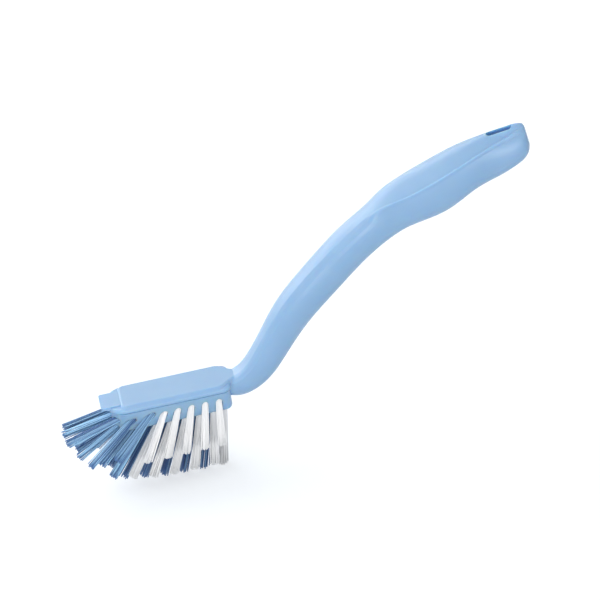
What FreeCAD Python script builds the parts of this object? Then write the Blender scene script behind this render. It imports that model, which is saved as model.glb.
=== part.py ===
"""Dish brush: a one-piece moulded handle with head and scraper lip, filament tufts
folded over flat metal anchors in blind holes, and the anchors themselves.
Millimetres.  X runs from the scraper lip to the handle's end, Z up, Y across."""
import FreeCAD, Part
import math
import os

V = FreeCAD.Vector

# Scraper lip, deck and rim plate of the head
LIP_WIDTH = 15.6
LIP_EDGE = 1.2
LIP_DROP = 0.5
LIP_CORNER = 1.6
LIP_LENGTH = 11.5
LIP_SET = 0.3
HEAD_LENGTH = 72.5
DECK_WIDTH = 23.2
DECK_CORNER = 3.2
DECK_ROUND = 1.3
DECK_SHOULDER = 1.8
DECK_TAPER = 8.0
DECK_TAIL = 5.5
DECK_TAIL_WIDTH = 8.0
DECK_EASE_FRONT = 6.5
DECK_EASE_BACK = 7.0
RIM_WIDTH = 26.6
RIM_TOP = 1.2
RIM_BOTTOM = 3.9
RIM_ROUND = 1.5
RIM_BEAD = 0.6
RIM_NOSE = 3.0

# Tuft block under the rim plate, and the groove between them
BLOCK_INSET = 1.0
BLOCK_DEPTH = 17.6
BLOCK_FOOT_WIDTH = 18.0
BLOCK_FOOT_ROUND = 2.6
BLOCK_NOSE_SLOPE = 6.0
BLOCK_BOW = 9.5
BLOCK_REAR_DRAFT = 0.2
BLOCK_CORNER = 3.8
GROOVE_HEIGHT = 0.9
GROOVE_DEPTH = 0.8

# Handle behind the head: length to its end, rise of its edge line above the deck
HANDLE_LENGTH = 187.8
HANDLE_RISE = 113.3

# Handle templates along the edge line, stretched to the length and rise above.
# Each row: along X, up Z, slope in degrees, half width of the top face, its crown,
# reach and drop of the side's bulge, half width of the flat below, depth,
# and how far the edge has turned from the neck's soft round into the grip's beaded leaf edge.
TEMPLATES = [
    (-9.0, -1.4, 0.0, 6.2, 0.3, 9.0, 3.0, 6.3, 11.8, 0.0),
    (0.5, -0.7, 3.0, 6.2, 0.3, 9.2, 3.0, 6.8, 12.8, 0.0),
    (7.7, 2.0, 28.0, 6.6, 0.8, 9.8, 3.6, 8.0, 15.2, 0.0),
    (13.7, 7.5, 45.0, 7.0, 1.2, 10.4, 4.0, 8.8, 16.4, 0.0),
    (26.1, 23.6, 51.0, 7.6, 1.6, 11.4, 4.5, 9.6, 17.8, 0.0),
    (43.0, 42.5, 45.0, 8.4, 2.3, 12.8, 5.0, 10.8, 19.2, 0.0),
    (64.3, 60.7, 38.5, 8.8, 2.5, 13.4, 5.2, 11.4, 19.6, 0.0),
    (84.3, 75.4, 34.0, 8.8, 2.4, 13.4, 5.2, 11.6, 19.6, 0.0),
    (95.0, 82.4, 31.0, 8.8, 2.2, 12.6, 6.4, 11.8, 20.4, 0.2),
    (102.4, 86.6, 27.0, 9.8, 3.6, 11.4, 7.8, 12.4, 21.1, 0.7),
    (111.4, 89.9, 22.0, 11.8, 5.7, 13.4, 7.9, 14.4, 21.2, 1.0),
    (125.5, 94.7, 20.0, 13.4, 6.6, 15.0, 8.3, 16.0, 22.7, 1.0),
    (143.6, 101.3, 19.0, 12.8, 6.1, 14.4, 7.8, 15.4, 21.2, 1.0),
    (160.9, 107.0, 15.0, 9.6, 5.4, 12.0, 7.4, 13.0, 20.6, 1.0),
    (171.6, 109.6, 12.0, 6.8, 5.0, 10.8, 7.1, 11.8, 19.8, 1.0),
    (180.3, 111.8, 9.0, 4.9, 4.1, 9.8, 6.5, 10.6, 18.2, 0.9),
    (184.9, 113.0, 7.0, 3.5, 2.9, 8.2, 5.7, 8.7, 16.0, 0.6),
    (186.8, 113.3, 6.0, 2.5, 2.1, 6.5, 4.9, 6.5, 13.6, 0.4),
    (187.8, 112.4, 5.0, 1.8, 1.4, 4.6, 3.7, 4.6, 10.4, 0.3),
]

# Edge between the top face and the sides, on the neck and on the grip: width of the round,
# height of its bead, and pull of the top face's crown; then the bead's lean outwards, per height
NECK_EDGE = (2.4, 0.0, 0.4)
LEAF_EDGE = (1.2, 1.9, 0.1)
BEAD_LEAN = 0.3

# Hang slot near the handle's end
SLOT_WIDTH = 4.6
SLOT_LENGTH = 15.0
SLOT_TO_END = 14.1

# Filament tufts: bundle and hole
TUFT_RADIUS = 1.9
TUFT_DEPTH = 6.0
TUFT_COLLAR = 3.0
TUFT_FLARE = 0.032
HOLE_CLEARANCE = 0.15
HOLE_RUNOUT = 6.0

# Rows of tufts along the block, evenly spaced from the rear to the front of the outer row
REAR_MARGIN = 8.4
ROW_FRONT = 24.8
ROW_STEPS = 5
LEAN_REAR = 8.0
LEAN_POWER = 1.12
SIDE_LEAN_GAIN = 52.0
CENTRE_LEAN_GAIN = 41.0
CENTRE_LEAN_MORE = 3.2
CENTRE_BACK = 2.6
OUTER_DEPTH = 11.6
OUTER_SPLAY = 22.0
OUTER_COUNT = 5
OUTER_REACH = 28.0
OUTER_TRIM = 32.5
INNER_HALF = 6.9
INNER_SPLAY = 9.0
INNER_COUNT = 7
INNER_REACH = 34.0
INNER_TRIM = 47.5
CENTRE_COUNT = 7
CENTRE_REACH = 40.0
CENTRE_TRIM = 54.8
FRONT_SHORTER = 8.0

# Bow tufts: distance back from the block's nose, depth below the deck, lean, splay, visible length
BOW_TUFTS = [
    ("nose", 0.0, 10.4, 78.0, 0.0, 29.5),
    ("nose_lower", 0.0, 16.2, 66.0, 0.0, 26.0),
    ("bow_front", 2.4, 9.6, 75.5, 3.5, 31.0),
    ("bow_lower", 1.4, 15.0, 64.5, 10.0, 28.0),
    ("bow_side", 9.2, 11.2, 60.0, 23.0, 33.5),
    ("bow_rear", 20.1, 10.6, 52.0, 18.0, 30.5),
]

# Flat metal anchors
ANCHOR_BITE = 0.35
ANCHOR_HEIGHT = 1.8
ANCHOR_THICK = 0.4
ANCHOR_FOLD = 0.9

# Shape of the curves: quarter round, degree of the skin, least length
QUARTER_ROUND = 0.5523
SKIN_DEGREE = 3
LEAST = 1e-4


def bezier(*points):
    """One Bezier edge through its end points, pulled by the points between."""
    curve = Part.BezierCurve()
    curve.setPoles(list(points))
    return curve.toShape()


def shortened(points, width):
    """Bezier curve whose first end is cut back by about that width."""
    curve = Part.BezierCurve()
    curve.setPoles(points)
    start_speed = curve.Degree * (points[1] - points[0]).Length
    curve.segment(width / start_speed, 1.0)
    return curve


def template_wire(row):
    """Closed section of the handle: crowned top face, two edges, two bulged sides, flat below."""
    along, up, slope, top, crown, reach, drop, flat, depth, leaf = row
    turn = math.radians(slope)
    across_up = V(-math.sin(turn), 0, math.cos(turn))
    edge, bead, pull = (neck + (grip - neck) * leaf for neck, grip in zip(NECK_EDGE, LEAF_EDGE))

    # The middle of the crown stands three quarters as high as the points that pull it
    lift = crown * 4 / 3

    def half(side):
        """Half of the top face, the edge and the side, from the crown's middle to the bottom."""
        def place(out, height):
            return V(along, side * out, up) + across_up * height

        corner = place(top, 0)
        middle = place(0, crown)
        # Half of the crown, as the whole crown splits at its middle
        crown_half = [corner, place(top * (1 + pull) / 2, lift / 2),
                      place((top + top * pull) / 4, lift * 3 / 4), middle]
        face = shortened(crown_half, edge)
        flank = shortened([corner, place(reach, -drop), place(flat, -depth), place(0, -depth)], edge)
        rim = bezier(face.StartPoint, place(top + bead * BEAD_LEAN, bead), flank.StartPoint)
        return [face.toShape(), rim, flank.toShape()]

    return Part.Wire(Part.__sortEdges__(half(-1) + half(1)))


def handle_loft():
    """Neck and grip as one smooth skin through the templates."""
    stretch = HANDLE_LENGTH / max(row[0] for row in TEMPLATES)
    lift = HANDLE_RISE / max(row[1] for row in TEMPLATES)
    rows = [(HEAD_LENGTH + row[0] * stretch, row[1] * lift) + row[2:] for row in TEMPLATES]
    return Part.makeLoft([template_wire(row) for row in rows], True, False, False, SKIN_DEGREE)


def deck_wire(grow, depth):
    """Plan of the deck: rounded front corners, full sides, narrowing back into the neck."""
    half = DECK_WIDTH / 2 + grow
    front = LIP_LENGTH - grow
    corner = DECK_CORNER
    pull = QUARTER_ROUND
    full = HEAD_LENGTH - DECK_TAPER
    back = HEAD_LENGTH + DECK_TAIL
    neck = DECK_TAIL_WIDTH / 2 + grow

    def place(along, side):
        return V(along, side, -depth)

    def one_side(side):
        return [
            bezier(place(front, side * (half - corner)), place(front, side * (half - corner * (1 - pull))),
                   place(front + corner * (1 - pull), side * half), place(front + corner, side * half)),
            Part.makeLine(place(front + corner, side * half), place(full, side * half)),
            bezier(place(full, side * half), place(full + DECK_EASE_FRONT, side * half),
                   place(back - DECK_EASE_BACK, side * neck), place(back, side * neck)),
        ]

    ends = [Part.makeLine(place(front, corner - half), place(front, half - corner)),
            Part.makeLine(place(back, -neck), place(back, neck))]
    return Part.Wire(Part.__sortEdges__(one_side(-1) + one_side(1) + ends))


def deck():
    """Raised deck with sloped shoulders and a rounded top edge."""
    wires = [deck_wire(0.0, 0.0), deck_wire(DECK_SHOULDER, (RIM_TOP + RIM_BOTTOM) / 2)]
    solid = Part.makeLoft(wires, True, True)
    back = HEAD_LENGTH + DECK_TAIL
    top = [edge for edge in solid.Edges
           if edge.BoundBox.ZMin > -LEAST and edge.BoundBox.XMin < back - LEAST]
    return solid.makeFillet(DECK_ROUND, top)


def outline(nose, bow, half, rear, corner, height):
    """Plan of the head at one height: elliptic bow, straight sides, rounded back."""
    pull = QUARTER_ROUND
    shoulder = nose + bow
    edges = [
        bezier(V(shoulder, -half, height), V(shoulder - bow * pull, -half, height),
               V(nose, -half * pull, height), V(nose, 0, height)),
        bezier(V(nose, 0, height), V(nose, half * pull, height),
               V(shoulder - bow * pull, half, height), V(shoulder, half, height)),
        Part.makeLine(V(shoulder, half, height), V(rear - corner, half, height)),
        bezier(V(rear - corner, half, height), V(rear - corner * (1 - pull), half, height),
               V(rear, half - corner * (1 - pull), height), V(rear, half - corner, height)),
        Part.makeLine(V(rear, half - corner, height), V(rear, corner - half, height)),
        bezier(V(rear, corner - half, height), V(rear, corner * (1 - pull) - half, height),
               V(rear - corner * (1 - pull), -half, height), V(rear - corner, -half, height)),
        Part.makeLine(V(rear - corner, -half, height), V(shoulder, -half, height)),
    ]
    return Part.Wire(edges)


def block_at(depth):
    """Nose, half width and rear of the tuft block at one depth below the deck."""
    share = (depth - RIM_BOTTOM) / (BLOCK_DEPTH - RIM_BOTTOM)
    top_half = RIM_WIDTH / 2 - BLOCK_INSET
    nose = RIM_NOSE + BLOCK_INSET + (depth - RIM_BOTTOM) * math.tan(math.radians(BLOCK_NOSE_SLOPE))
    half = top_half + (BLOCK_FOOT_WIDTH / 2 - top_half) * share
    rear = HEAD_LENGTH - BLOCK_INSET - BLOCK_REAR_DRAFT * share
    return nose, half, rear


def tuft_block():
    """Boat-shaped block that holds the tufts, its foot rounded along the bow and the sides."""
    wires = []
    for depth in (RIM_BOTTOM + GROOVE_HEIGHT, BLOCK_DEPTH):
        nose, half, rear = block_at(depth)
        wires.append(outline(nose, BLOCK_BOW, half, rear, BLOCK_CORNER, -depth))
    block = Part.makeLoft(wires, True, True)
    corner_start = HEAD_LENGTH - BLOCK_INSET - BLOCK_REAR_DRAFT - BLOCK_CORNER
    foot = [edge for edge in block.Edges
            if edge.BoundBox.ZMax < LEAST - BLOCK_DEPTH and edge.BoundBox.XMax < corner_start + LEAST]
    return block.makeFillet(BLOCK_FOOT_ROUND, foot)


def block_waist():
    """Recessed band that joins the rim plate to the block, the floor of the groove."""
    nose, half, rear = block_at(RIM_BOTTOM)
    top = (RIM_TOP + RIM_BOTTOM) / 2
    wire = outline(nose + GROOVE_DEPTH, BLOCK_BOW, half - GROOVE_DEPTH, rear - GROOVE_DEPTH,
                   BLOCK_CORNER, -top)
    return Part.Face(wire).extrude(V(0, 0, top - RIM_BOTTOM - 2 * GROOVE_HEIGHT))


def rim_plate():
    """Plate with a rounded bead that overhangs the block all round."""
    wire = outline(RIM_NOSE, BLOCK_BOW, RIM_WIDTH / 2, HEAD_LENGTH, BLOCK_CORNER + BLOCK_INSET, -RIM_BOTTOM)
    plate = Part.Face(wire).extrude(V(0, 0, RIM_BOTTOM - RIM_TOP))
    for height, radius in ((-RIM_TOP, RIM_ROUND), (-RIM_BOTTOM, RIM_BEAD)):
        edges = [edge for edge in plate.Edges
                 if edge.BoundBox.ZLength < LEAST and abs(edge.BoundBox.ZMin - height) < LEAST]
        plate = plate.makeFillet(radius, edges)
    return plate


def scraper_lip():
    """Wedge that thickens from the scraping edge back into the head."""
    root = LIP_LENGTH + DECK_CORNER
    bottom = RIM_BOTTOM - LIP_SET
    corners = [V(0, 0, -LIP_DROP), V(0, 0, -LIP_DROP - LIP_EDGE), V(RIM_NOSE + BLOCK_BOW / 2, 0, -bottom),
               V(root, 0, -bottom), V(root, 0, -LIP_DROP)]
    face = Part.Face(Part.makePolygon(corners + corners[:1]))
    wedge = face.extrude(V(0, LIP_WIDTH, 0))
    wedge.translate(V(0, -LIP_WIDTH / 2, 0))
    front = [edge for edge in wedge.Edges if edge.BoundBox.XMax < LEAST and edge.BoundBox.YLength < LEAST]
    return wedge.makeFillet(LIP_CORNER, front)


def hang_slot():
    """Round-ended slot straight through the grip near its end."""
    middle = HEAD_LENGTH + HANDLE_LENGTH - SLOT_TO_END
    radius = SLOT_WIDTH / 2
    reach = SLOT_LENGTH / 2 - radius
    edges = [
        Part.makeLine(V(middle - reach, -radius, 0), V(middle + reach, -radius, 0)),
        Part.Arc(V(middle + reach, -radius, 0), V(middle + reach + radius, 0, 0),
                 V(middle + reach, radius, 0)).toShape(),
        Part.makeLine(V(middle + reach, radius, 0), V(middle - reach, radius, 0)),
        Part.Arc(V(middle - reach, radius, 0), V(middle - reach - radius, 0, 0),
                 V(middle - reach, -radius, 0)).toShape(),
    ]
    return Part.Face(Part.Wire(edges)).extrude(V(0, 0, HANDLE_RISE + SLOT_LENGTH))


def half_at(depth, back):
    """Half width of the block at a depth, some way back from its nose: ellipse, then straight."""
    half = block_at(depth)[1]
    ahead = max(0.0, 1 - back / BLOCK_BOW)
    return half * math.sqrt(1 - ahead ** 2)


def lean_at(along, gain):
    """Forward lean of a tuft in degrees, growing from the rear towards the bow."""
    rear = HEAD_LENGTH - REAR_MARGIN
    share = max(0.0, (rear - along) / (rear - RIM_NOSE))
    return LEAN_REAR + gain * share ** LEAN_POWER


def aim(lean, splay, side):
    """Unit direction of a tuft: leaned forward from straight down, then splayed sideways."""
    forward = math.radians(lean)
    outward = math.radians(splay)
    return V(-math.sin(forward) * math.cos(outward), side * math.sin(outward),
             -math.cos(forward) * math.cos(outward))


def tuft_plan():
    """Every tuft as name, mouth, direction, visible length and trim depth."""
    plan = []
    rear = HEAD_LENGTH - REAR_MARGIN
    pitch = (rear - ROW_FRONT) / ROW_STEPS
    sides = (("left", -1), ("right", 1))
    outer_half = block_at(OUTER_DEPTH)[1]
    for word, side in sides:
        for count in range(OUTER_COUNT):
            along = rear - pitch * count
            mouth = V(along, side * outer_half, -OUTER_DEPTH)
            way = aim(lean_at(along, SIDE_LEAN_GAIN), OUTER_SPLAY, side)
            plan.append(("tuft_outer_%s_%d" % (word, count + 1), mouth, way, OUTER_REACH, OUTER_TRIM))
        for count in range(INNER_COUNT):
            along = rear - pitch * (count + 0.5)
            mouth = V(along, side * INNER_HALF, -BLOCK_DEPTH)
            way = aim(lean_at(along, SIDE_LEAN_GAIN), INNER_SPLAY, side)
            reach = INNER_REACH - (FRONT_SHORTER if count + 1 == INNER_COUNT else 0)
            plan.append(("tuft_inner_%s_%d" % (word, count + 1), mouth, way, reach, INNER_TRIM))
    for count in range(CENTRE_COUNT):
        along = rear - pitch * count
        mouth = V(along + CENTRE_BACK, 0, -BLOCK_DEPTH)
        way = aim(lean_at(along, CENTRE_LEAN_GAIN) + CENTRE_LEAN_MORE, 0.0, 1)
        reach = CENTRE_REACH - (FRONT_SHORTER if count + 1 == CENTRE_COUNT else 0)
        plan.append(("tuft_centre_%d" % (count + 1), mouth, way, reach, CENTRE_TRIM))
    for word, back, depth, lean, splay, length in BOW_TUFTS:
        along = block_at(depth)[0] + back
        half = half_at(depth, back)
        for name, side in sides if half else (("", 1),):
            label = "_".join(part for part in ("tuft", word, name) if part)
            plan.append((label, V(along, side * half, -depth), aim(lean, splay, side), length, CENTRE_TRIM))
    return plan


def anchor_plate(mouth, way):
    """Flat wire that pins the fold of a tuft and bites into both walls of its hole."""
    length = 2 * (TUFT_RADIUS + HOLE_CLEARANCE + ANCHOR_BITE)
    across = way.cross(V(0, 1, 0))
    across.normalize()
    flat = way.cross(across)
    deep = mouth - way * (TUFT_DEPTH - ANCHOR_FOLD)
    corner = deep - across * (length / 2) - flat * (ANCHOR_THICK / 2)
    points = [corner, corner + across * length,
              corner + across * length + flat * ANCHOR_THICK, corner + flat * ANCHOR_THICK]
    face = Part.Face(Part.makePolygon(points + points[:1]))
    return face.extrude(way * ANCHOR_HEIGHT)


def tuft_hole(mouth, way):
    """Blind hole of a tuft, run out past the block's skin."""
    radius = TUFT_RADIUS + HOLE_CLEARANCE
    bottom = mouth - way * (TUFT_DEPTH + HOLE_CLEARANCE)
    return Part.makeCylinder(radius, TUFT_DEPTH + HOLE_CLEARANCE + HOLE_RUNOUT, bottom, way)


def filament_tuft(mouth, way, length, trim, anchor):
    """Bundle of filaments: straight in its hole, spreading to the trimmed tips."""
    root = Part.makeCylinder(TUFT_RADIUS, TUFT_DEPTH + TUFT_COLLAR, mouth - way * TUFT_DEPTH, way)
    spread = length - TUFT_COLLAR
    cone = Part.makeCone(TUFT_RADIUS, TUFT_RADIUS + spread * TUFT_FLARE, spread,
                         mouth + way * TUFT_COLLAR, way)
    bundle = root.fuse(cone)
    tip = mouth + way * length
    below = Part.makeBox(2 * length, 2 * length, length, V(tip.x - length, tip.y - length, -trim - length))
    return bundle.cut(below).cut(anchor).removeSplitter()


os.makedirs("parts", exist_ok=True)

plan = tuft_plan()
anchors = [anchor_plate(mouth, way) for _, mouth, way, _, _ in plan]
holes = [tuft_hole(mouth, way) for _, mouth, way, _, _ in plan]
moulding = handle_loft().fuse([deck(), rim_plate(), scraper_lip(), block_waist(), tuft_block()])
moulding = moulding.cut(hang_slot())
moulding = moulding.cut(holes + anchors)

pieces = {"handle": moulding, "tuft_anchors": Part.makeCompound(anchors)}
for (name, mouth, way, length, trim), anchor in zip(plan, anchors):
    pieces[name] = filament_tuft(mouth, way, length, trim, anchor)

box = FreeCAD.BoundBox()
for shape in pieces.values():
    box.add(shape.optimalBoundingBox(False, False))
shift = V(-box.Center.x, -box.Center.y, -box.ZMin)
for name, shape in pieces.items():
    shape.translate(shift)
    shape.exportStep("parts/%s.step" % name)
    print(name, len(shape.Solids), shape.isValid(), round(shape.Volume, 1))
print("box", box, "shift", shift)
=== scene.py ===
import math

import bpy
import numpy as np
from mathutils import Matrix, Vector


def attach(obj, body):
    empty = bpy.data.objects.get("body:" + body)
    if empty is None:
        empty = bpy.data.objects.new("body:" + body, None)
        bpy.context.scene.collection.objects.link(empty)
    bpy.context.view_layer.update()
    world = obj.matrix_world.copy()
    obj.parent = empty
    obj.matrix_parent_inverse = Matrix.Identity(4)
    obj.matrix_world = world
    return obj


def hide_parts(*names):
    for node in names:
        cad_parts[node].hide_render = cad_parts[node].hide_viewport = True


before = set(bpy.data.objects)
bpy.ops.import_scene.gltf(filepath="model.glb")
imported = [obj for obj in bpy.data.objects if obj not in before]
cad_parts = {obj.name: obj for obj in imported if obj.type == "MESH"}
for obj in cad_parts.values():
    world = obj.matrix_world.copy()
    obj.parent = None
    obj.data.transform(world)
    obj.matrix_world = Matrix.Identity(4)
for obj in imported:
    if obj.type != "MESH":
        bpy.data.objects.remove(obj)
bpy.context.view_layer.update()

# Handle moulding: grip, neck, head, scraper lip and tuft block in one shot of light-blue
# polypropylene, straight from a finely blasted mould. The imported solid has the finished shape,
# so it stays, and gets the plastic: faint cloudy pigment, satin skin and a milky depth.
PLASTIC_PALE = (0.283, 0.460, 0.678, 1.0)
PLASTIC_DEEP = (0.258, 0.435, 0.654, 1.0)
CLOUDS_PER_METRE = 45.0
CLOUD_DETAIL = 3.0
SATIN_LOW = 0.30
SATIN_HIGH = 0.38
SKIN_GRAINS_PER_METRE = 2600.0
SKIN_GRAIN_DETAIL = 2.0
SKIN_GRAIN_HEIGHT = 0.00004
SKIN_GRAIN_STRENGTH = 0.5
MILKY_SHARE = 0.6
MILKY_DEPTH = 0.005
MILKY_REACH_OF_RED_GREEN_BLUE = (0.2, 0.55, 1.0)
PLASTIC_IOR = 1.49
PLASTIC_SHINE = 0.5


def new_material(name):
    """A material with its Principled shader, and two ways to fill it: add a node, feed the shader."""
    material = bpy.data.materials.new(name)
    material.use_nodes = True
    tree = material.node_tree
    shader = tree.nodes["Principled BSDF"]

    def add(kind, sources=None, **values):
        """A node with its properties set, and each socket fed by a (node, output) pair or a value."""
        node = tree.nodes.new(kind)
        for key, value in values.items():
            setattr(node, key, value)
        for socket, source in (sources or {}).items():
            if isinstance(source, tuple) and isinstance(source[0], bpy.types.Node):
                tree.links.new(source[0].outputs[source[1]], node.inputs[socket])
            else:
                node.inputs[socket].default_value = source
        return node

    def feed(socket, source, output):
        """Link a node's output to one of the shader's sockets."""
        tree.links.new(source.outputs[output], shader.inputs[socket])

    return material, shader, add, feed


def noise_in_piece(add, per_metre, detail):
    """Noise from 0 to 1 over the piece's own coordinates, with that many grains to the metre."""
    place = add("ShaderNodeTexCoord")
    return add("ShaderNodeTexNoise", {"Vector": (place, "Object"), "Scale": per_metre, "Detail": detail})


def two_colour_ramp(add, source, low, high, low_at=0.3, high_at=0.7):
    """A colour that goes evenly from low to high while the source goes from low_at to high_at."""
    ramp = add("ShaderNodeValToRGB", {"Fac": (source, "Fac")})
    first, last = ramp.color_ramp.elements
    first.position, first.color = low_at, low
    last.position, last.color = high_at, high
    return ramp


plastic, shader, add, feed = new_material("light_blue_moulding")
clouds = noise_in_piece(add, CLOUDS_PER_METRE, CLOUD_DETAIL)
feed("Base Color", two_colour_ramp(add, clouds, PLASTIC_DEEP, PLASTIC_PALE), "Color")
satin = add("ShaderNodeMapRange", {"Value": (clouds, "Fac"), "To Min": SATIN_HIGH, "To Max": SATIN_LOW})
feed("Roughness", satin, "Result")
skin = noise_in_piece(add, SKIN_GRAINS_PER_METRE, SKIN_GRAIN_DETAIL)
grain = add("ShaderNodeBump", {"Height": (skin, "Fac"), "Strength": SKIN_GRAIN_STRENGTH,
                               "Distance": SKIN_GRAIN_HEIGHT})
feed("Normal", grain, "Normal")
shader.inputs["Subsurface Weight"].default_value = MILKY_SHARE
shader.inputs["Subsurface Radius"].default_value = MILKY_REACH_OF_RED_GREEN_BLUE
shader.inputs["Subsurface Scale"].default_value = MILKY_DEPTH
shader.inputs["IOR"].default_value = PLASTIC_IOR
shader.inputs["Specular IOR Level"].default_value = PLASTIC_SHINE
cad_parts["handle"].data.materials[0] = plastic

# Tuft anchors: flat brass wire cut to length and driven across the fold of each tuft, so that
# its ends bite into the walls of the hole. They stay as packed, in finely mottled brass.
BRASS_BRIGHT = (0.80, 0.60, 0.28, 1.0)
BRASS_DULL = (0.62, 0.45, 0.20, 1.0)
BRASS_GRAINS_PER_METRE = 3000.0
BRASS_GRAIN_DETAIL = 1.0
BRASS_SMOOTHEST = 0.28
BRASS_ROUGHEST = 0.42

brass, shader, add, feed = new_material("wire_brass")
mottle = noise_in_piece(add, BRASS_GRAINS_PER_METRE, BRASS_GRAIN_DETAIL)
feed("Base Color", two_colour_ramp(add, mottle, BRASS_DULL, BRASS_BRIGHT), "Color")
wear = add("ShaderNodeMapRange", {"Value": (mottle, "Fac"), "To Min": BRASS_SMOOTHEST,
                                  "To Max": BRASS_ROUGHEST})
feed("Roughness", wear, "Result")
shader.inputs["Metallic"].default_value = 1.0
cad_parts["tuft_anchors"].data.materials[0] = brass

# Filament tufts: round polyester filaments, folded in half over their anchor and driven into a
# blind hole, so that both ends of each stand out as one bundle, trimmed to length after filling.
# Each bundle follows the line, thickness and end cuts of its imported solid.
WHITE_BUNDLE = {"ends": 46, "radius": 0.00026, "locks": 12,
                "stray": 0.00018, "uneven": 0.0005, "lightest": 1.0}
BLUE_BUNDLE = {"ends": 23, "radius": 0.00030, "locks": 23,
               "stray": 0.00035, "uneven": 0.0012, "lightest": 1.0}
# The centre tufts' ends take only the lower 0.38 of the blue shades, so they come out darker than the
# other blue tufts.
DARKER_CENTRE_BUNDLE = {"ends": 23, "radius": 0.00030, "locks": 23,
               "stray": 0.00025, "uneven": 0.0008, "lightest": 0.38}
GOLDEN_ANGLE = math.pi * (3.0 - math.sqrt(5.0))
SWELL_POWER = 0.7
LOCK_SHARE = 0.8
FILAMENT_SIDES = 6
FREE_RINGS = 5
RING_POWER = 1.4

# Places along a tuft from the floor of its hole, and the room that its anchor takes to each side.
FOLD_GAP = 0.0004
ANCHOR_TOP = 0.0028
HOLE_DEPTH = 0.0060
ANCHOR_CLEAR = 0.00045

# How the faces of a packed tuft are told apart: by how far their normals lean along it, or down.
SLIVER = 1e-14
DIRECTION_PASSES = 2
SKIN_LEAN = 0.5
CUT_LEAN = 0.3
LEVEL_LEAN = 0.9995
ROOT_FACE_DEPTH = 0.0001


def skin_triangles(solid):
    """Corners, unit normals and weights of a solid's triangles, without slivers.

    The cross product of two edges points along the normal, and its length, twice the area, is
    the triangle's weight."""
    mesh = solid.data
    points = np.empty(len(mesh.vertices) * 3)
    mesh.vertices.foreach_get("co", points)
    corners = np.empty(len(mesh.loops), dtype=np.int64)
    mesh.loops.foreach_get("vertex_index", corners)
    triangles = points.reshape(-1, 3)[corners.reshape(-1, 3)]
    normals = np.cross(triangles[:, 1] - triangles[:, 0], triangles[:, 2] - triangles[:, 0])
    weights = np.linalg.norm(normals, axis=1)
    keep = weights > SLIVER
    return triangles[keep], normals[keep] / weights[keep, None], weights[keep]


def bundle_form(solid):
    """Root centre, direction, root and tip radius, and end cuts of a tuft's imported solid.

    The direction is the one that the skin's normals lean on least: the smallest axis of the
    sum of weight times normal by normal, first over all faces and then over those along it.
    A radius is the greatest distance from the line through the root centre. A cut is the
    middle and the mean normal of the end's faces, the level ones apart from the slanted."""
    triangles, normals, weights = skin_triangles(solid)
    middles = triangles.mean(axis=1)
    along = np.ones(len(weights), dtype=bool)
    for _ in range(DIRECTION_PASSES):
        spread = np.einsum("n,ni,nj->ij", weights[along], normals[along], normals[along])
        way = np.linalg.eigh(spread)[1][:, 0]
        along = np.abs(normals @ way) < SKIN_LEAN
    way = -way if way[2] > 0 else way
    reach = middles @ way
    half_way = (reach.min() + reach.max()) / 2
    at_root = reach < reach.min() + ROOT_FACE_DEPTH
    root = np.average(middles[at_root], axis=0, weights=weights[at_root])
    from_line = triangles.reshape(-1, 3) - root
    from_line = from_line - np.outer(from_line @ way, way)
    thick = np.linalg.norm(from_line, axis=1)
    root_radius = thick[np.repeat(at_root, 3)].max()
    at_tip = (normals @ way > CUT_LEAN) & (reach > half_way)
    level = normals[:, 2] < -LEVEL_LEAN
    cuts = []
    for part in (at_tip & level, at_tip & ~level):
        if part.any():
            cuts.append((np.average(middles[part], axis=0, weights=weights[part]),
                         np.average(normals[part], axis=0, weights=weights[part])))
    return root, way, root_radius, thick.max(), cuts


def bundle_lines(form, bundle, draw):
    """Centre lines of a bundle's ends, their free share at each ring, spots and cross directions.

    End number n stands at the bundle's radius times the root of n and a half over the count,
    turned by n golden angles, and moved aside in the hole to pass the anchor. From the mouth to
    the tip that offset grows from the root's radius to the tip's by a power of the way out, and
    the end strays by a small random step times the way out squared, but not past the tip's
    radius. It stops at the first cut that it meets, less its radius and a small random length."""
    root, way, root_radius, tip_radius, cuts = form
    ends, radius = bundle["ends"], bundle["radius"]
    number = np.arange(ends)
    turn = number * GOLDEN_ANGLE + draw.uniform(0, 2 * math.pi)
    share = np.sqrt((number + 0.5) / ends)
    side = np.cross(way, (0.0, 1.0, 0.0))
    side = side / np.linalg.norm(side)
    cross = np.cross(way, side)
    outward = np.cos(turn)[:, None] * side + np.sin(turn)[:, None] * cross
    near = outward * (share * (root_radius - radius))[:, None]
    far = outward * (share * (tip_radius - radius))[:, None]
    stray = draw.normal(0.0, bundle["stray"], (ends, 2))
    stray = stray[:, :1] * side + stray[:, 1:] * cross
    spread = np.linalg.norm(far + stray, axis=1)
    stray = (far + stray) * np.minimum(1.0, (tip_radius - radius) / spread)[:, None] - far
    past_anchor = near @ cross
    aside = np.where(past_anchor < 0, -1.0, 1.0) * np.maximum(np.abs(past_anchor), ANCHOR_CLEAR)
    in_hole = near + np.outer(aside - past_anchor, cross)
    start = root + way * FOLD_GAP
    length = np.full(ends, np.inf)
    for point, face in cuts:
        length = np.minimum(length, ((point - start - far - stray) @ face) / (way @ face))
    length = length - radius - draw.uniform(0.0, bundle["uneven"], ends)
    anchor = ((ANCHOR_TOP - FOLD_GAP) / length)[:, None]
    mouth = ((HOLE_DEPTH - FOLD_GAP) / length)[:, None]
    step = np.linspace(0.0, 1.0, FREE_RINGS) ** RING_POWER
    out = np.concatenate([0 * anchor, anchor, mouth + (1 - mouth) * step], axis=1)
    free = np.clip((out - mouth) / (1 - mouth), 0.0, 1.0)[..., None]
    offset = near[:, None] + (far - near)[:, None] * free ** SWELL_POWER + stray[:, None] * free ** 2
    offset[:, :2] = in_hole[:, None]
    line = start + way * (out * length[:, None])[..., None] + offset
    return line, free, outward * share[:, None], side, cross


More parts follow.
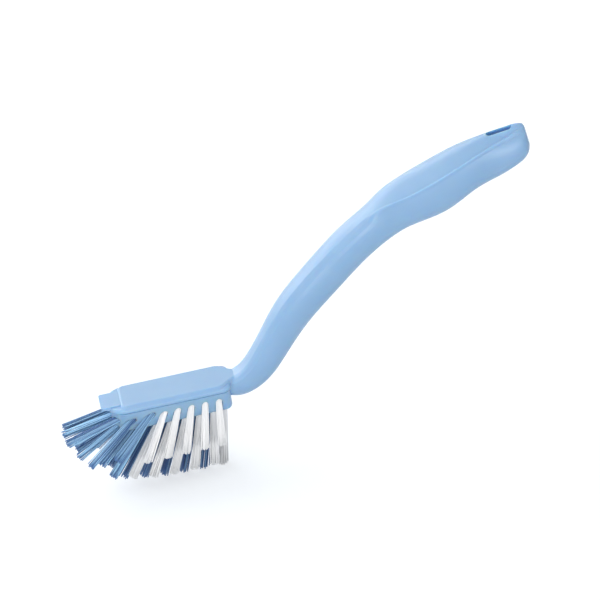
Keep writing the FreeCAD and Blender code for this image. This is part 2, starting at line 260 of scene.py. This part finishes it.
def tube_mesh(name, line, side, cross, radius):
    """Closed tubes along lines: each ring has its corners at even angles, one radius out."""
    corner = np.arange(FILAMENT_SIDES) * (2 * math.pi / FILAMENT_SIDES)
    hexagon = np.cos(corner)[:, None] * side + np.sin(corner)[:, None] * cross
    rings = line[:, :, None, :] + radius * hexagon
    index = np.arange(rings.size // 3).reshape(rings.shape[:3])
    after = np.roll(index, -1, axis=2)
    quads = np.stack([index[:, :-1], after[:, :-1], after[:, 1:], index[:, 1:]], axis=-1).reshape(-1, 4)
    caps = np.concatenate([index[:, 0, ::-1], index[:, -1]])
    mesh = bpy.data.meshes.new(name)
    mesh.from_pydata(rings.reshape(-1, 3).tolist(), [], quads.tolist() + caps.tolist())
    mesh.polygons.foreach_set("use_smooth", np.arange(len(mesh.polygons)) < len(quads))
    return mesh


def strand_shades(spot, bundle, draw):
    """Shade of each end, from 0 to the bundle's lightest.

    Ends nearest to the same one of a few chosen ends form a lock. The lock's place in a random
    order gives most of the shade, and a random number for each end gives the rest."""
    ends, locks = bundle["ends"], bundle["locks"]
    heads = spot[draw.choice(ends, locks, replace=False)]
    lock = np.argmin(np.linalg.norm(spot[:, None] - heads, axis=2), axis=1)
    shade = LOCK_SHARE * draw.permutation(locks)[lock] / (locks - 1)
    shade = shade + (1 - LOCK_SHARE) * draw.uniform(0.0, 1.0, ends)
    return shade * bundle["lightest"]


def bundle_mesh(name, form, bundle, seed):
    """Tubes of a bundle, with two numbers at each point: the end's shade and the way to its tip."""
    draw = np.random.default_rng(seed)
    line, free, spot, side, cross = bundle_lines(form, bundle, draw)
    mesh = tube_mesh(name, line, side, cross, bundle["radius"])
    shade = strand_shades(spot, bundle, draw)
    for attribute, values in (("strand", shade[:, None, None]), ("tipward", free)):
        at_points = np.broadcast_to(values, (*line.shape[:2], FILAMENT_SIDES))
        mesh.attributes.new(attribute, "FLOAT", "POINT").data.foreach_set("value", at_points.ravel())
    mesh.update()
    return mesh


WHITE_DEEP = (0.88, 0.88, 0.89, 1.0)
WHITE_PALE = (0.95, 0.95, 0.95, 1.0)
WHITE_TURN = (0.0, 1.0)
WHITE_ROUGHNESS = 0.34
# The blue ends spread from a near-black blue to a pale blue. That is partly the filaments' own varied
# tone, partly painted shade for the dark gaps between filaments, and partly painted highlight for their
# light streaks.
BLUE_DEEP_AND_GAP_SHADE = (0.020, 0.085, 0.280, 1.0)
BLUE_PALE_AND_HIGHLIGHT = (0.37, 0.66, 0.92, 1.0)
BLUE_TIP = (0.08, 0.19, 0.44, 1.0)
BLUE_TURN = (0.08, 0.70)
BLUE_ROUGHNESS = 0.28
ROUGHNESS_SPAN = 0.12
TIP_COLOUR_FROM = 0.9
FILAMENT_IOR = 1.53

# Numbers of the Mix node's sockets for colours, because their names repeat.
MIX_FACTOR = 0
MIX_FIRST = 6
MIX_SECOND = 7
MIX_RESULT = 2


def filament_material(name, deep, pale, turn, tip, roughness):
    """Drawn polyester: each end has its shade between two colours, and fades to a third at its tip. For
    the blue, that spread is partly painted shade and painted highlight.
    """
    material, shader, add, feed = new_material(name)
    strand = add("ShaderNodeAttribute", attribute_name="strand")
    tipward = add("ShaderNodeAttribute", attribute_name="tipward")
    shade = two_colour_ramp(add, strand, deep, pale, *turn)
    fade = add("ShaderNodeMapRange", {"Value": (tipward, "Fac"), "From Min": TIP_COLOUR_FROM,
                                      "From Max": 1.0})
    colour = add("ShaderNodeMix", {MIX_FACTOR: (fade, "Result"), MIX_FIRST: (shade, "Color"),
                                   MIX_SECOND: tip}, data_type="RGBA")
    feed("Base Color", colour, MIX_RESULT)
    gloss = add("ShaderNodeMapRange", {"Value": (strand, "Fac"), "To Min": roughness,
                                       "To Max": roughness + ROUGHNESS_SPAN})
    feed("Roughness", gloss, "Result")
    shader.inputs["IOR"].default_value = FILAMENT_IOR
    return material


white_polyester = filament_material("white_polyester", WHITE_DEEP, WHITE_PALE, WHITE_TURN,
                                    WHITE_PALE, WHITE_ROUGHNESS)
blue_polyester = filament_material("blue_polyester", BLUE_DEEP_AND_GAP_SHADE, BLUE_PALE_AND_HIGHLIGHT, BLUE_TURN,
                                   BLUE_TIP, BLUE_ROUGHNESS)

for seed, (node_name, solid) in enumerate(sorted(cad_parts.items())):
    if not node_name.startswith("tuft_") or node_name == "tuft_anchors":
        continue
    finish = solid.data.materials[0].name.split(".")[0]
    if finish == "white_filament":
        bundle, polyester = WHITE_BUNDLE, white_polyester
    elif "centre" in node_name:
        bundle, polyester = DARKER_CENTRE_BUNDLE, blue_polyester
    else:
        bundle, polyester = BLUE_BUNDLE, blue_polyester
    piece_name = node_name.replace("tuft_", "filaments_")
    piece = bpy.data.objects.new(piece_name, bundle_mesh(piece_name, bundle_form(solid), bundle, seed))
    bpy.context.scene.collection.objects.link(piece)
    piece.data.materials.append(polyester)
    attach(piece, "root")
    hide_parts(node_name)

# Floor: one pale matt sheet under the filament tips, which takes the soft shadow.
# A faint glow, for the eye and for reflections alone, lifts it to white.
FLOOR_HALF = 6.0
FLOOR_BOUNCE = (0.46, 0.50, 0.54, 1.0)
FLOOR_GLOW = 0.58

floor_mesh = bpy.data.meshes.new("floor")
floor_mesh.from_pydata([(-FLOOR_HALF, -FLOOR_HALF, 0), (FLOOR_HALF, -FLOOR_HALF, 0),
                        (FLOOR_HALF, FLOOR_HALF, 0), (-FLOOR_HALF, FLOOR_HALF, 0)], [], [(0, 1, 2, 3)])
floor = bpy.data.objects.new("floor", floor_mesh)
bpy.context.scene.collection.objects.link(floor)


def seen_rays(tree):
    """1 for rays from the camera and those that gloss or glass sends on, else 0: the largest of three."""
    path = tree.nodes.new("ShaderNodeLightPath")
    largest = path.outputs["Is Camera Ray"]
    for kind in ("Is Glossy Ray", "Is Transmission Ray"):
        larger = tree.nodes.new("ShaderNodeMath")
        larger.operation = "MAXIMUM"
        tree.links.new(largest, larger.inputs[0])
        tree.links.new(path.outputs[kind], larger.inputs[1])
        largest = larger.outputs[0]
    return largest


pale_sheet = bpy.data.materials.new("pale_floor")
pale_sheet.use_nodes = True
tree = pale_sheet.node_tree
tree.nodes.remove(tree.nodes["Principled BSDF"])
matt = tree.nodes.new("ShaderNodeBsdfDiffuse")
matt.inputs["Color"].default_value = FLOOR_BOUNCE
glow_level = tree.nodes.new("ShaderNodeMath")
glow_level.operation = "MULTIPLY"
glow_level.inputs[1].default_value = FLOOR_GLOW
tree.links.new(seen_rays(tree), glow_level.inputs[0])
glow = tree.nodes.new("ShaderNodeEmission")
tree.links.new(glow_level.outputs[0], glow.inputs["Strength"])
matt_and_glow = tree.nodes.new("ShaderNodeAddShader")
tree.links.new(matt.outputs[0], matt_and_glow.inputs[0])
tree.links.new(glow.outputs[0], matt_and_glow.inputs[1])
tree.links.new(matt_and_glow.outputs[0], tree.nodes["Material Output"].inputs["Surface"])
floor_mesh.materials.append(pale_sheet)

# Studio light: a white room, dimmer for the object than for the eye, and three soft lamps,
# one behind the brush, one above it on the left, and a wide low one in front.
ROOM_FOR_OBJECT = 0.54
ROOM_FOR_EYE = 1.0
LAMP_TARGET = Vector((0.0, 0.0, 0.08))

world = bpy.data.worlds.new("white_room")
bpy.context.scene.world = world
world.use_nodes = True
tree = world.node_tree
room_level = tree.nodes.new("ShaderNodeMapRange")
room_level.inputs["To Min"].default_value = ROOM_FOR_OBJECT
room_level.inputs["To Max"].default_value = ROOM_FOR_EYE
tree.links.new(seen_rays(tree), room_level.inputs["Value"])
tree.links.new(room_level.outputs["Result"], tree.nodes["Background"].inputs["Strength"])
tree.nodes["Background"].inputs["Color"].default_value = (1, 1, 1, 1)


def soft_lamp(name, place, width, height, power):
    """A flat lamp of that width and height, facing the lamps' target."""
    data = bpy.data.lights.new(name, "AREA")
    data.shape = "RECTANGLE"
    data.size = width
    data.size_y = height
    data.energy = power
    lamp = bpy.data.objects.new(name, data)
    facing = (Vector(place) - LAMP_TARGET).to_track_quat("Z", "Y").to_matrix().to_4x4()
    lamp.matrix_world = Matrix.Translation(place) @ facing
    bpy.context.scene.collection.objects.link(lamp)


soft_lamp("back_softbox", place=(-0.8, 1.0, 1.0), width=1.6, height=1.6, power=20.0)
soft_lamp("top_left_softbox", place=(-0.8, -0.7, 1.5), width=1.4, height=1.4, power=5.0)
soft_lamp("low_front_softbox", place=(-0.2, -2.4, 0.45), width=3.0, height=0.6, power=37.0)

# Camera: parallel view across the brush from above its near side, turned so that the handle
# climbs to the right as it does in the photograph.
PHOTO_PIXELS = 600
PIXELS_PER_METRE = 1820
STAND_OFF = 2.0
RAISED = math.radians(30.0)
TURNED = math.radians(12.3)
LOOK_AT = Vector((0.00142, 0.0155, 0.08166))

camera_data = bpy.data.cameras.new("camera")
camera_data.type = "ORTHO"
camera_data.ortho_scale = PHOTO_PIXELS / PIXELS_PER_METRE
camera = bpy.data.objects.new("camera", camera_data)
bpy.context.scene.collection.objects.link(camera)
level_right = Vector((1.0, 0.0, 0.0))
level_up = Vector((0.0, math.sin(RAISED), math.cos(RAISED)))
right = level_right * math.cos(TURNED) - level_up * math.sin(TURNED)
up = level_right * math.sin(TURNED) + level_up * math.cos(TURNED)
back = right.cross(up)
facing = Matrix((right, up, back)).transposed().to_4x4()
camera.matrix_world = Matrix.Translation(LOOK_AT + back * STAND_OFF) @ facing
bpy.context.scene.camera = camera
bpy.context.scene.view_settings.view_transform = "Standard"
